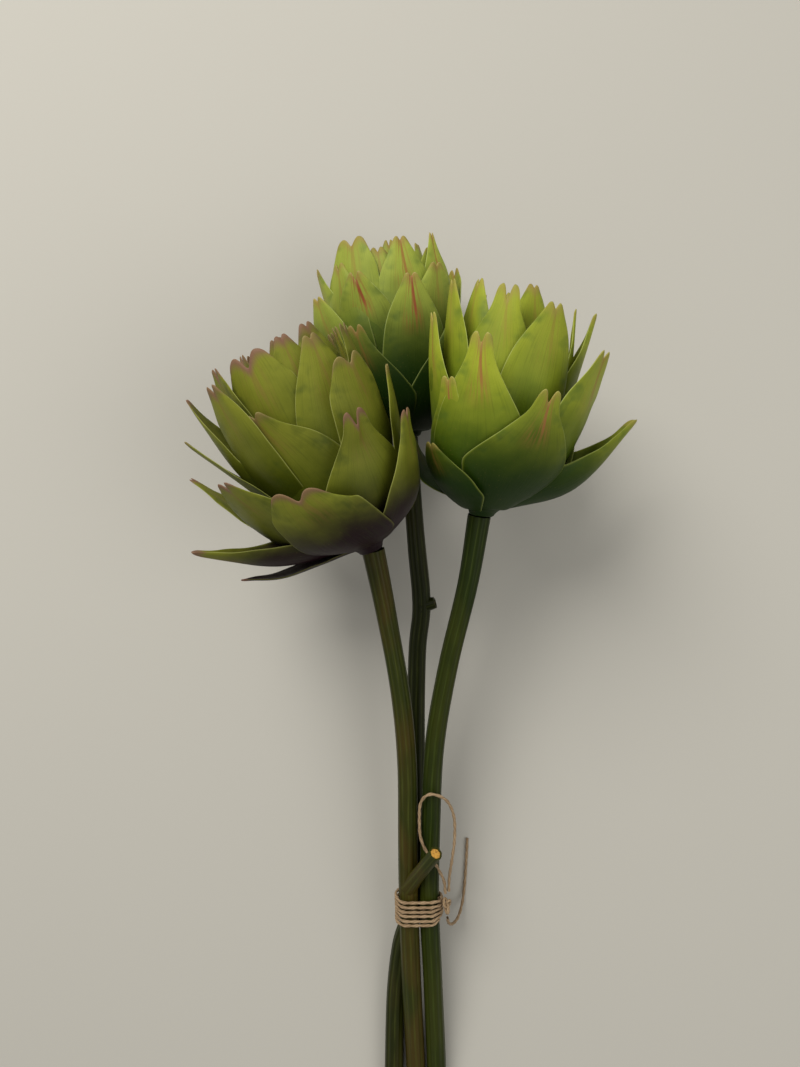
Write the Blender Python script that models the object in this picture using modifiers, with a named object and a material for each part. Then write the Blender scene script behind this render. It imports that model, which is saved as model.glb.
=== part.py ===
"""Three artichokes on long stems, tied with paper twine and laid down on a surface.

The surface is Z = 0. The stems point to -Y and the heads to +Y. Every length below is in
millimetres, and MM turns it into the metres that Blender holds.
"""

import math

import bmesh
import bpy
from mathutils import Matrix, Vector

MM = 0.001

BRACT_THICKNESS = 1.2
CELLS_ACROSS = 4
CELLS_ALONG = 8
CORE_STEPS = 20

# Every bract's base sits on this cone under the heart, from its outer end (seat 0) to its inner end.
SEAT_RADIUS = (9.0, 29.0)
SEAT_HEIGHT = (2.5, 19.0)
SEAT_RISE = (8.0, 48.0)  # degrees above level at which a bract leaves its seat

STEM_SIDES = 16
STEM_RIBS = 8
STEM_RIB_DEPTH = 0.35

TWINE_RADIUS = 0.95
TWINE_GAP = 0.95
WRAP_TURNS = 6
WRAP_STEPS = 12
WRAP_FROM_Y = -212.0
WRAP_PITCH = 2.9

# A head: where its stem ends, how far its axis leans to the left and rises from level in degrees,
# the shoulder radius of its outer and inner bracts, and the top of its closed bud. "pressed" lists
# the azimuths where a neighbour or the surface flattens the head, each with the share it loses.
HEADS = {
    "left": {
        "base": (-15.0, -7.7, 77.0),
        "lean": 24.0,
        "rise": 12.0,
        "shoulder": (52.0, 37.0),
        "pressed": ((110.0, 0.24),),
        "bud_top": 112.0,
        "green": (0.13, 0.19, 0.035, 1.0),
    },
    "right": {
        "base": (42.4, 10.9, 82.0),
        "lean": -8.0,
        "rise": 8.0,
        "shoulder": (50.0, 36.0),
        "pressed": ((-112.0, 0.28),),
        "bud_top": 110.0,
        "green": (0.24, 0.36, 0.05, 1.0),
    },
    "back": {
        "base": (4.5, 57.0, 42.0),
        "lean": 6.0,
        "rise": 3.0,
        "shoulder": (43.0, 33.0),
        "pressed": ((0.0, 0.20), (180.0, 0.12)),
        "bud_top": 108.0,
        "green": (0.27, 0.40, 0.10, 1.0),
    },
}

# The bracts stand in evenly spaced whorls, the outermost first: seat (0 outermost, 1 innermost),
# azimuth of the first bract in degrees (0 faces up from the surface, 90 to the right), full width,
# and each bract's tip radius and tip height along the axis, in turn round the head.
WHORLS = {
    "left": (
        (0.12, -72, 46, ((86, 40), (62, 54), (59, 63), (46, 56), (84, 40), (74, 46))),
        (0.42, -102, 40, ((76, 72), (62, 67), (58, 74), (48, 86), (43, 58), (62, 64))),
        (1.00, -96, 36, ((64, 91), (42, 90), (37, 96), (33, 84), (44, 92))),
    ),
    "right": (
        (0.12, 18, 50, ((58, 65), (75, 59), (86, 44), (54, 36), (53, 66))),
        (0.32, -14, 34, ((56, 87), (56, 88), (60, 68), (45, 52), (46, 96))),
        (1.00, 18, 23, ((38, 107), (42, 111), (42, 96), (29, 90), (38, 113))),
    ),
    "back": (
        (0.00, -30, 46, ((46, 58), (48, 60), (53, 52), (43, 38), (56, 62))),
        (0.36, 12, 40, ((46, 80), (52, 78), (47, 70), (47, 60), (49, 76))),
        (1.00, -30, 27, ((37, 88), (37, 92), (40, 96), (40, 97), (40, 100))),
    ),
}
WHORL_FILL = 0.95  # how far towards its neighbours a bract of a whorl may reach, as a share

# Odd bracts between the whorls: azimuth, seat, tip radius, tip height and full width.
ODD_BRACTS = {
    "left": ((-90, 0.00, 70, 13, 20), (18, 0.00, 26, 6, 8)),
    "right": ((-40, 0.00, 58, 30, 16),),
    "back": (),
}
ODD_BRACT_REACH = 0.5  # radians from an odd bract's midrib to its edge, round the head

# Centre lines of the stems, from the head to the cut end, with the radius at each point.
STEMS = {
    "left": (
        (-14.5, -8.9, 76.4, 6.2),
        (-7.9, -42.0, 68.6, 5.5),
        (0.0, -88.0, 57.6, 5.5),
        (4.0, -130.0, 47.8, 5.6),
        (4.6, -175.0, 38.8, 5.7),
        (5.2, -221.0, 30.2, 5.8),
        (7.0, -270.0, 21.6, 5.8),
        (9.6, -325.0, 9.8, 5.9),
        (9.8, -358.0, 6.3, 5.9),
    ),
    "right": (
        (42.2, 9.6, 81.6, 6.2),
        (36.4, -29.0, 72.4, 5.5),
        (26.4, -76.0, 60.3, 5.5),
        (19.6, -123.0, 50.0, 5.6),
        (17.8, -175.0, 38.6, 5.7),
        (17.4, -221.0, 30.2, 5.8),
        (19.8, -270.0, 21.0, 5.8),
        (22.4, -325.0, 9.8, 5.9),
        (22.8, -360.0, 6.3, 5.9),
    ),
    "back": (
        (4.6, 55.6, 41.9, 5.8),
        (9.4, -3.8, 37.6, 5.2),
        (12.6, -42.0, 35.0, 5.4),
        (10.2, -72.0, 32.2, 5.2),
        (9.4, -141.0, 26.2, 5.4),
        (11.0, -221.0, 19.4, 5.8),
        (7.4, -235.0, 15.6, 5.8),
        (1.4, -252.0, 12.4, 5.8),
        (-2.4, -285.0, 9.6, 5.8),
        (-3.6, -330.0, 7.0, 5.8),
        (-3.8, -355.0, 6.2, 5.8),
    ),
}

# The cut side shoot on the left stem, and the cut knuckle on the back stem: two ends and two radii.
STUB = ((5.2, -208.0, 33.4), (20.0, -179.0, 58.5), 4.2, 3.8)
KNUCKLE = ((12.4, -43.0, 35.0), (20.6, -40.5, 36.4), 4.2, 3.4)

KNOT_CENTRE = (27.6, -218.0, 36.4)
KNOT_HALF_SIZE = (2.6, 6.5, 3.0)

LOOP = (
    (26.4, -209.5, 40.0),
    (25.4, -201.0, 43.0),
    (21.6, -193.0, 44.0),
    (15.8, -184.5, 44.6),
    (12.0, -176.0, 44.8),
    (11.2, -167.0, 45.8),
    (11.6, -154.5, 49.4),
    (15.6, -148.4, 52.4),
    (21.6, -148.6, 52.6),
    (27.4, -153.5, 49.4),
    (31.0, -163.0, 45.0),
    (31.8, -174.5, 42.0),
    (30.6, -188.0, 40.4),
    (28.9, -199.0, 39.6),
    (28.4, -209.0, 38.6),
)

TAIL = (
    (28.0, -226.2, 35.0),
    (28.8, -231.5, 30.0),
    (31.5, -236.5, 21.5),
    (35.6, -237.4, 12.0),
    (39.0, -231.5, 4.4),
    (40.6, -222.0, 1.8),
    (41.6, -208.0, 1.7),
    (42.4, -192.0, 1.7),
)


def material(name, colour, roughness):
    made = bpy.data.materials.new(name)
    made.use_nodes = True
    shader = made.node_tree.nodes["Principled BSDF"]
    shader.inputs["Base Color"].default_value = colour
    shader.inputs["Roughness"].default_value = roughness
    return made


def add_object(name, data, paint, collection, parent):
    obj = bpy.data.objects.new(name, data)
    data.materials.append(paint)
    collection.objects.link(obj)
    obj.parent = parent
    return obj


def blend(pair, share):
    return pair[0] + (pair[1] - pair[0]) * share


def smooth_route(points, steps):
    """Points of a Catmull-Rom curve through the given ones, `steps` to each span."""
    points = [Vector(point) for point in points]
    padded = [2 * points[0] - points[1], *points, 2 * points[-1] - points[-2]]
    route = []
    for before, start, end, after in zip(padded, padded[1:], padded[2:], padded[3:]):
        for step in range(steps):
            t = step / steps
            route.append(
                start
                + (end - before) * (t / 2)
                + (2 * before - 5 * start + 4 * end - after) * (t * t / 2)
                + (3 * start - 3 * end + after - before) * (t**3 / 2)
            )
    route.append(points[-1])
    return route


def even_route(points, steps, count):
    """`count` + 1 points at equal distances along the smooth route through `points`."""
    route = smooth_route(points, steps)
    lengths = [0.0]
    for start, end in zip(route, route[1:]):
        lengths.append(lengths[-1] + (end - start).length)
    even = []
    index = 0
    for k in range(count + 1):
        wanted = lengths[-1] * k / count
        while index < len(route) - 2 and lengths[index + 1] < wanted:
            index += 1
        share = (wanted - lengths[index]) / (lengths[index + 1] - lengths[index])
        even.append(route[index].lerp(route[index + 1], share))
    return even


def half_width(share, width, radius, reach):
    """Half of a bract's width: full below the middle, then concave flanks up to a blunt tip."""
    profile = (
        (0, 0.5), (0.15, 0.8), (0.35, 1), (0.5, 0.96), (0.65, 0.76), (0.8, 0.45), (0.9, 0.28), (1, 0.16)
    )
    for (start, low), (end, high) in zip(profile, profile[1:]):
        if share <= end:
            part = low + (high - low) * (share - start) / (end - start)
            return min(part * width / 2, reach * radius)
    return profile[-1][1] * width / 2


def squeeze(head, turn):
    """The share of its round radius that the head keeps at this azimuth, in radians."""
    kept = 1.0
    for azimuth, share in head["pressed"]:
        kept -= share * max(0.0, math.cos(turn - math.radians(azimuth))) ** 2
    return kept


def bract_midrib(head, seat, tip_radius, tip_height):
    """The bract's centre line as (radius, 0, height), from its seat over its shoulder to its tip."""
    start = Vector((blend(SEAT_RADIUS, seat), 0, blend(SEAT_HEIGHT, seat)))
    tip = Vector((tip_radius, 0, tip_height))
    shoulder_height = start.z + 0.36 * (tip_height - start.z)
    shoulder_radius = blend(head["shoulder"], seat)
    reach = 0.62 * tip_radius + 0.38 * start.x
    shoulder = Vector((min(shoulder_radius, max(reach, start.x + 8)), 0, shoulder_height))
    if tip_radius > shoulder_radius + 8:
        shoulder.z *= 0.86
    rise = math.radians(blend(SEAT_RISE, seat))
    first = Vector((math.cos(rise), 0, math.sin(rise))) * 6
    return even_route((start, start + first, shoulder, tip), 12, CELLS_ALONG)


def bract_mesh(name, head, azimuth, seat, tip_radius, tip_height, width, reach):
    middle = math.radians(azimuth)
    midrib = bract_midrib(head, seat, tip_radius / squeeze(head, middle), tip_height)
    mesh = bpy.data.meshes.new(name)
    bm = bmesh.new()
    bmesh.ops.create_grid(bm, x_segments=CELLS_ACROSS, y_segments=CELLS_ALONG, size=1.0)
    for vertex in bm.verts:
        across = vertex.co.x
        along = (vertex.co.y + 1) / 2
        rib = midrib[round(along * CELLS_ALONG)]
        half = half_width(along, width, rib.x, reach)
        turn = middle + across * half / rib.x
        radius = rib.x * squeeze(head, turn)
        vertex.co = Vector((radius * math.cos(turn), radius * math.sin(turn), rib.z)) * MM
    bm.to_mesh(mesh)
    bm.free()
    return mesh


def head_matrix(head):
    """Local Z runs up the head's axis, local X faces away from the surface, local Y to the right."""
    lean = math.radians(head["lean"])
    rise = math.radians(head["rise"])
    axis = Vector((-math.sin(lean) * math.cos(rise), math.cos(lean) * math.cos(rise), math.sin(rise)))
    up = Vector((0, 0, 1))
    front = (up - axis * axis.dot(up)).normalized()
    right = axis.cross(front)
    matrix = Matrix((front, right, axis)).transposed().to_4x4()
    matrix.translation = Vector(head["base"]) * MM
    return matrix


def add_core(name, head, paint, collection, parent):
    """The heart with the closed bud on it: one profile turned round the head's axis."""
    top = head["bud_top"]
    wide = head["shoulder"][1] - 4.0
    profile = (
        (5.0, 0.6),
        (8.6, 4.2),
        (blend(SEAT_RADIUS, 0.5) - 2.6, blend(SEAT_HEIGHT, 0.5) + 1.4),
        (SEAT_RADIUS[1] - 3.4, SEAT_HEIGHT[1] + 3.0),
        (wide - 2.0, 30.0),
        (wide, 46.0),
        (wide - 1.5, 62.0),
        (wide - 6.0, 80.0),
        (wide - 13.0, 95.0),
        (wide - 20.0, top - 5),
    )
    mesh = bpy.data.meshes.new(name)
    bm = bmesh.new()
    axis_points = [(0.0, profile[0][1]), *profile, (0.0, top)]
    verts = [bm.verts.new((radius * MM, 0, height * MM)) for radius, height in axis_points]
    edges = [bm.edges.new(pair) for pair in zip(verts, verts[1:])]
    bmesh.ops.spin(
        bm,
        geom=verts + edges,
        cent=(0, 0, 0),
        axis=(0, 0, 1),
        angle=2 * math.pi,
        steps=CORE_STEPS,
        use_merge=True,
    )
    bmesh.ops.remove_doubles(bm, verts=bm.verts, dist=0.00001)
    bmesh.ops.recalc_face_normals(bm, faces=bm.faces)
    for vertex in bm.verts:
        kept = squeeze(head, math.atan2(vertex.co.y, vertex.co.x))
        vertex.co.x *= kept
        vertex.co.y *= kept
    bm.to_mesh(mesh)
    bm.free()
    mesh.shade_smooth()
    return add_object(name, mesh, paint, collection, parent)


def all_bracts(side):
    """Each bract's azimuth, seat, tip radius, tip height, width and reach, whorl by whorl."""
    bracts = []
    for seat, first, width, tips in WHORLS[side]:
        reach = WHORL_FILL * math.pi / len(tips)
        for index, (radius, height) in enumerate(tips):
            bracts.append((first + 360 * index / len(tips), seat, radius, height, width, reach))
    bracts += [(*bract, ODD_BRACT_REACH) for bract in ODD_BRACTS[side]]
    return bracts


def add_head(side, collection, paints):
    head = HEADS[side]
    socket = bpy.data.objects.new(f"{side}_head", None)
    socket.matrix_world = head_matrix(head)
    collection.objects.link(socket)
    add_core(f"{side}_heart", head, paints["heart"], collection, socket)
    for number, bract_sizes in enumerate(all_bracts(side), 1):
        name = f"{side}_bract_{number:02d}"
        mesh = bract_mesh(name, head, *bract_sizes)
        bract = add_object(name, mesh, paints[side], collection, socket)
        solid = bract.modifiers.new("thickness", "SOLIDIFY")
        solid.thickness = BRACT_THICKNESS * MM
        solid.offset = 0.0
        solid.use_even_offset = True
    return socket


def ring_profile(name, sides, ribs, depth, helpers):
    """A closed curve of unit radius with shallow ribs, swept along a stem as its bevel."""
    outline = bpy.data.curves.new(name, "CURVE")
    outline.dimensions = "2D"
    spline = outline.splines.new("POLY")
    spline.points.add(sides - 1)
    for index, point in enumerate(spline.points):
        turn = 2 * math.pi * index / sides
        radius = (1 - depth * (1 - math.cos(ribs * turn)) / 2) * MM
        point.co = (radius * math.cos(turn), radius * math.sin(turn), 0, 1)
    spline.use_cyclic_u = True
    shape = bpy.data.objects.new(name, outline)
    shape.hide_render = True
    helpers.objects.link(shape)
    return shape


def evaluated_mesh(obj, name):
    """The object's shape with its modifiers and bevel, as a mesh that a Boolean can take."""
    graph = bpy.context.evaluated_depsgraph_get()
    mesh = bpy.data.meshes.new_from_object(obj.evaluated_get(graph))
    mesh.name = name
    bm = bmesh.new()
    bm.from_mesh(mesh)
    bmesh.ops.remove_doubles(bm, verts=bm.verts, dist=0.00001)
    bmesh.ops.recalc_face_normals(bm, faces=bm.faces)
    bm.to_mesh(mesh)
    bm.free()
    return mesh


def add_stem(side, profile, helpers, collection, paint, parent):
    curve = bpy.data.curves.new(f"{side}_stem_line", "CURVE")
    curve.dimensions = "3D"
    curve.bevel_mode = "OBJECT"
    curve.bevel_object = profile
    curve.use_fill_caps = True
    curve.twist_mode = "MINIMUM"
    points = STEMS[side]
    route = smooth_route([point[:3] for point in points], 2)
    radii = smooth_route([(point[3], 0, 0) for point in points], 2)
    spline = curve.splines.new("POLY")
    spline.points.add(len(route) - 1)
    for target, place, radius in zip(spline.points, route, radii):
        target.co = (*(place * MM), 1)
        target.radius = radius.x
    line = bpy.data.objects.new(f"{side}_stem_line", curve)
    line.hide_render = True
    helpers.objects.link(line)
    mesh = evaluated_mesh(line, f"{side}_stem")
    return add_object(f"{side}_stem", mesh, paint, collection, parent)


def add_side_shoot(stem, ends, radii, helpers):
    """A cut shoot that grew out of the stem, joined to it as one body."""
    start, end = (Vector(point) * MM for point in ends)
    mesh = bpy.data.meshes.new(f"{stem.name}_shoot")
    bm = bmesh.new()
    bmesh.ops.create_cone(
        bm,
        cap_ends=True,
        segments=14,
        radius1=radii[0] * MM,
        radius2=radii[1] * MM,
        depth=(end - start).length,
    )
    turn = (end - start).to_track_quat("Z", "Y").to_matrix().to_4x4()
    bmesh.ops.transform(bm, matrix=Matrix.Translation((start + end) / 2) @ turn, verts=bm.verts)
    bm.to_mesh(mesh)
    bm.free()
    shoot = bpy.data.objects.new(mesh.name, mesh)
    shoot.hide_render = True
    shoot.display_type = "WIRE"
    shoot.parent = stem.parent
    helpers.objects.link(shoot)
    join = stem.modifiers.new("side_shoot", "BOOLEAN")
    join.operation = "UNION"
    join.solver = "EXACT"
    join.object = shoot


def centre_at(side, y):
    """Where the stem's centre line crosses the plane at this y."""
    route = smooth_route([point[:3] for point in STEMS[side]], 8)
    for start, end in zip(route, route[1:]):
        if end.y <= y <= start.y:
            return start.lerp(end, (start.y - y) / (start.y - end.y))
    return route[-1]


def wrap_route():
    """Turns of twine drawn tight round the three stems, as points in millimetres."""
    route = []
    reach = STEMS["left"][5][3] + TWINE_RADIUS + TWINE_GAP
    for step in range(WRAP_TURNS * WRAP_STEPS + 1):
        turn = 2 * math.pi * step / WRAP_STEPS + math.radians(50)
        y = WRAP_FROM_Y - WRAP_PITCH * step / WRAP_STEPS
        out = Vector((math.sin(turn), 0, math.cos(turn)))
        centres = [centre_at(side, y) for side in STEMS]
        outermost = max(centres, key=out.dot)
        route.append(outermost + out * reach)
    return route


def add_twine(name, route, collection, paint, parent):
    curve = bpy.data.curves.new(name, "CURVE")
    curve.dimensions = "3D"
    curve.bevel_depth = TWINE_RADIUS * MM
    curve.bevel_resolution = 2
    curve.use_fill_caps = True
    spline = curve.splines.new("POLY")
    spline.points.add(len(route) - 1)
    for target, place in zip(spline.points, route):
        target.co = (*(place * MM), 1)
    return add_object(name, curve, paint, collection, parent)


def add_knot(collection, paint, parent):
    mesh = bpy.data.meshes.new("twine_knot")
    bm = bmesh.new()
    bmesh.ops.create_icosphere(bm, subdivisions=2, radius=1.0)
    bmesh.ops.scale(bm, vec=[half * MM for half in KNOT_HALF_SIZE], verts=bm.verts)
    bmesh.ops.translate(bm, vec=Vector(KNOT_CENTRE) * MM, verts=bm.verts)
    bm.to_mesh(mesh)
    bm.free()
    return add_object("twine_knot", mesh, paint, collection, parent)


def rest_on_surface(bunch, collection, loose):
    """Moves the bunch so that it touches Z = 0 with the origin under the middle of its box."""
    bpy.context.view_layer.update()
    graph = bpy.context.evaluated_depsgraph_get()
    corners = []
    for obj in collection.objects:
        if obj.type == "EMPTY" or obj.name in loose:
            continue
        shape = obj.evaluated_get(graph)
        mesh = shape.to_mesh()
        corners += [shape.matrix_world @ vertex.co for vertex in mesh.vertices]
        shape.to_mesh_clear()
    low = [min(corner[axis] for corner in corners) for axis in range(3)]
    high = [max(corner[axis] for corner in corners) for axis in range(3)]
    bunch.location = (-(low[0] + high[0]) / 2, -(low[1] + high[1]) / 2, -low[2])


def build():
    for obj in list(bpy.data.objects):
        bpy.data.objects.remove(obj)
    collection = bpy.data.collections.new("artichoke_bunch")
    helpers = bpy.data.collections.new("helpers")
    bpy.context.scene.collection.children.link(collection)
    bpy.context.scene.collection.children.link(helpers)
    paints = {
        "heart": material("heart_green", (0.30, 0.38, 0.10, 1.0), 0.55),
        "stem": material("stem_green", (0.05, 0.09, 0.02, 1.0), 0.5),
        "twine": material("twine_tan", (0.42, 0.30, 0.16, 1.0), 0.85),
    }
    for side, head in HEADS.items():
        paints[side] = material(f"{side}_bract_green", head["green"], 0.5)

    bunch = bpy.data.objects.new("bunch", None)
    collection.objects.link(bunch)
    for side in HEADS:
        add_head(side, collection, paints).parent = bunch

    profile = ring_profile("stem_ribs", STEM_SIDES, STEM_RIBS, STEM_RIB_DEPTH / 5.8, helpers)
    stems = {
        side: add_stem(side, profile, helpers, collection, paints["stem"], bunch) for side in STEMS
    }
    add_side_shoot(stems["left"], STUB[:2], STUB[2:], helpers)
    add_side_shoot(stems["back"], KNUCKLE[:2], KNUCKLE[2:], helpers)

    add_twine("twine_wrap", wrap_route(), collection, paints["twine"], bunch)
    add_twine("twine_loop", smooth_route(LOOP, 3), collection, paints["twine"], bunch)
    add_twine("twine_tail", smooth_route(TAIL, 3), collection, paints["twine"], bunch)
    add_knot(collection, paints["twine"], bunch)
    rest_on_surface(bunch, collection, {"twine_loop", "twine_tail"})


build()
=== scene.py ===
"""The looks of three artichokes on long stems, tied with paper twine and laid down on a pale floor.

Routes and forms are given in millimetres in the bunch's own layout, where the stems run to -Y,
the heads lie at +Y and the floor is a little under Z = 0. MM turns them into metres.
"""

import math
from types import SimpleNamespace

import bmesh
import bpy
from mathutils import Matrix, Vector, noise


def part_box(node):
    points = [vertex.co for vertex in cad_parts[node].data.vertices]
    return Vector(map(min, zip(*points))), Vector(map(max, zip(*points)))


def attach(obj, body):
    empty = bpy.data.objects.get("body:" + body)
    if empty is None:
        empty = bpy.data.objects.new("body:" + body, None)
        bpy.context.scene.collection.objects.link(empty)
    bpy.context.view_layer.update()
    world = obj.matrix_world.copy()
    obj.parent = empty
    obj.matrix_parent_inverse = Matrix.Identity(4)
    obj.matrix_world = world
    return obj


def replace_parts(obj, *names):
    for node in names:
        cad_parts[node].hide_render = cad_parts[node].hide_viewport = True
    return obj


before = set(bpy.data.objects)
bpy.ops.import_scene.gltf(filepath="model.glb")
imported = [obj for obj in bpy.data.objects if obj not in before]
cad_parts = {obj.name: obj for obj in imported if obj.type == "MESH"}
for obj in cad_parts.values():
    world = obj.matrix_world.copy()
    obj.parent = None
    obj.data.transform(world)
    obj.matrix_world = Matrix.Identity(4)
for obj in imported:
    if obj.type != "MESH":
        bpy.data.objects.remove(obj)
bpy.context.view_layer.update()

# ---------------------------------------------------------------------------------------------
# Camera. It hangs half a metre over the floor and looks straight down, with the heads at the top
# of the view and the cut ends of the stems just below its lower edge.
MM = 0.001
KNOT_CENTRE = Vector((27.6, -218.0, 36.4))
CAMERA_HEIGHT = 508.0
CAMERA_LENS = 27.1

knot_low, knot_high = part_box("twine_knot")
LAYOUT_ORIGIN = (knot_low + knot_high) / 2 - KNOT_CENTRE * MM


def placed(point):
    """The place in the frame, in metres, of a layout point in millimetres."""
    return LAYOUT_ORIGIN + Vector(point) * MM


camera = bpy.data.objects.new("camera", bpy.data.cameras.new("camera"))
camera.data.lens = CAMERA_LENS
camera.data.sensor_width = 36.0
camera.data.clip_start = 0.01
camera.location = placed((0.0, 0.0, CAMERA_HEIGHT))
bpy.context.scene.collection.objects.link(camera)
bpy.context.scene.camera = camera
bpy.context.scene.view_settings.view_transform = "Standard"

# ---------------------------------------------------------------------------------------------
# Loop and tail of the twine. One strip of tan paper is twisted into a thin flat cord. Its long
# loop stands up from the knot over the stems, and its cut tail falls to the floor.
TWINE_WIDTH = 1.9
TWINE_SIDES = 12
TWINE_TWIST = 0.55  # radians in each millimetre of length
TWINE_TAN = (0.36, 0.25, 0.14, 1.0)
# Dark brown of painted shade, laid into the creases of the twisted cord.
TWINE_CREASE_SHADE = (0.15, 0.085, 0.035, 1.0)

LOOP = (
    (26.4, -209.5, 40.0),
    (25.4, -201.0, 43.0),
    (21.6, -193.0, 44.0),
    (15.8, -184.5, 44.6),
    (12.0, -176.0, 44.8),
    (11.2, -167.0, 45.8),
    (11.6, -154.5, 49.4),
    (15.6, -148.4, 52.4),
    (21.6, -148.6, 52.6),
    (27.4, -153.5, 49.4),
    (31.0, -163.0, 45.0),
    (31.8, -174.5, 42.0),
    (30.6, -188.0, 40.4),
    (28.9, -199.0, 39.6),
    (28.4, -209.0, 38.6),
)
TAIL = (
    (28.0, -226.2, 35.0),
    (28.8, -231.5, 30.0),
    (31.5, -236.5, 21.5),
    (35.6, -237.4, 12.0),
    (39.0, -231.5, 4.4),
    (40.6, -222.0, 1.8),
    (41.6, -208.0, 1.7),
    (42.4, -192.0, 1.7),
)


def smooth_route(points, steps):
    """Points of a Catmull-Rom curve through the given ones, `steps` to each span."""
    points = [Vector(point) for point in points]
    padded = [2 * points[0] - points[1], *points, 2 * points[-1] - points[-2]]
    route = []
    for before, start, end, after in zip(padded, padded[1:], padded[2:], padded[3:]):
        for step in range(steps):
            t = step / steps
            route.append(
                start
                + (end - before) * (t / 2)
                + (2 * before - 5 * start + 4 * end - after) * (t * t / 2)
                + (3 * start - 3 * end + after - before) * (t**3 / 2)
            )
    route.append(points[-1])
    return route


def distances(route):
    """How far along the route each of its points lies."""
    found = [0.0]
    for start, end in zip(route, route[1:]):
        found.append(found[-1] + (end - start).length)
    return found


def even_route(route, count):
    """`count` + 1 points at equal distances along the route."""
    lengths = distances(route)
    even = []
    index = 0
    for k in range(count + 1):
        wanted = lengths[-1] * k / count
        while index < len(route) - 2 and lengths[index + 1] < wanted:
            index += 1
        share = (wanted - lengths[index]) / (lengths[index + 1] - lengths[index])
        even.append(route[index].lerp(route[index + 1], share))
    return even


def tube_mesh(name, route, sides, radius_at, uv_name):
    """A tube along the route. radius_at(angle, distance) gives its radius in millimetres."""
    lengths = distances(route)
    turns = []
    side = Vector((0.31, 0.17, 0.93))
    for index in range(len(route)):
        ahead = (route[min(index + 1, len(route) - 1)] - route[max(index - 1, 0)]).normalized()
        side = (side - ahead * side.dot(ahead)).normalized()
        turns.append((side.copy(), ahead.cross(side)))
    mesh = bpy.data.meshes.new(name)
    bm = bmesh.new()
    bmesh.ops.create_grid(bm, x_segments=sides, y_segments=len(route) - 1, size=1.0)
    uv = bm.loops.layers.uv.new(uv_name)
    for face in bm.faces:
        for loop in face.loops:
            row = round((loop.vert.co.y + 1) / 2 * (len(route) - 1))
            loop[uv].uv = ((loop.vert.co.x + 1) / 2, lengths[row] * MM)
    for vertex in bm.verts:
        row = round((vertex.co.y + 1) / 2 * (len(route) - 1))
        angle = vertex.co.x * math.pi
        first, second = turns[row]
        out = first * math.cos(angle) + second * math.sin(angle)
        vertex.co = placed(route[row] + out * radius_at(angle, lengths[row]))
    bmesh.ops.remove_doubles(bm, verts=bm.verts, dist=0.000001)
    bmesh.ops.holes_fill(bm, edges=bm.edges, sides=sides)
    bmesh.ops.recalc_face_normals(bm, faces=bm.faces)
    bm.to_mesh(mesh)
    bm.free()
    mesh.shade_smooth()
    mesh.set_sharp_from_angle(angle=math.radians(60))
    return mesh


def add_piece(name, mesh, materials):
    """A piece of the bunch with the given materials, hung from the root body."""
    piece = bpy.data.objects.new(name, mesh)
    for paint in materials:
        mesh.materials.append(paint)
    bpy.context.scene.collection.objects.link(piece)
    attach(piece, "root")
    return piece


def add_node(tree, kind, inputs, **settings):
    """A shader node. Each input is given a value, or the socket that feeds it."""
    node = tree.nodes.new(kind)
    for key, value in settings.items():
        setattr(node, key, value)
    for key, value in inputs.items():
        if isinstance(value, bpy.types.NodeSocket):
            tree.links.new(value, node.inputs[key])
        else:
            node.inputs[key].default_value = value
    return node


def mixed(tree, factor, first, second, how="MIX"):
    """The colour that lies between two colours."""
    node = add_node(
        tree, "ShaderNodeMix", {0: factor, 6: first, 7: second}, data_type="RGBA", blend_type=how
    )
    return node.outputs[2]


def maths(tree, operation, first, second=0.0):
    return add_node(tree, "ShaderNodeMath", {0: first, 1: second}, operation=operation).outputs[0]


def rising(tree, value, low, high):
    """0 where the value is under low, 1 where it is over high, and smooth between them."""
    node = add_node(
        tree,
        "ShaderNodeMapRange",
        {"Value": value, "From Min": low, "From Max": high},
        interpolation_type="SMOOTHSTEP",
    )
    return node.outputs["Result"]


def stretched_noise(tree, coordinates, scale, size, detail=2.0):
    """Noise whose grain is drawn out along an axis, by a different scale on each."""
    mapping = add_node(tree, "ShaderNodeMapping", {"Vector": coordinates, "Scale": scale})
    grain = add_node(
        tree,
        "ShaderNodeTexNoise",
        {"Vector": mapping.outputs["Vector"], "Scale": size, "Detail": detail},
    )
    return grain.outputs["Fac"]


def new_paint(name, roughness):
    """An empty material with its Principled BSDF, and its node tree."""
    paint = bpy.data.materials.new(name)
    paint.use_nodes = True
    shader = paint.node_tree.nodes["Principled BSDF"]
    shader.inputs["Roughness"].default_value = roughness
    return paint, paint.node_tree, shader


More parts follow.
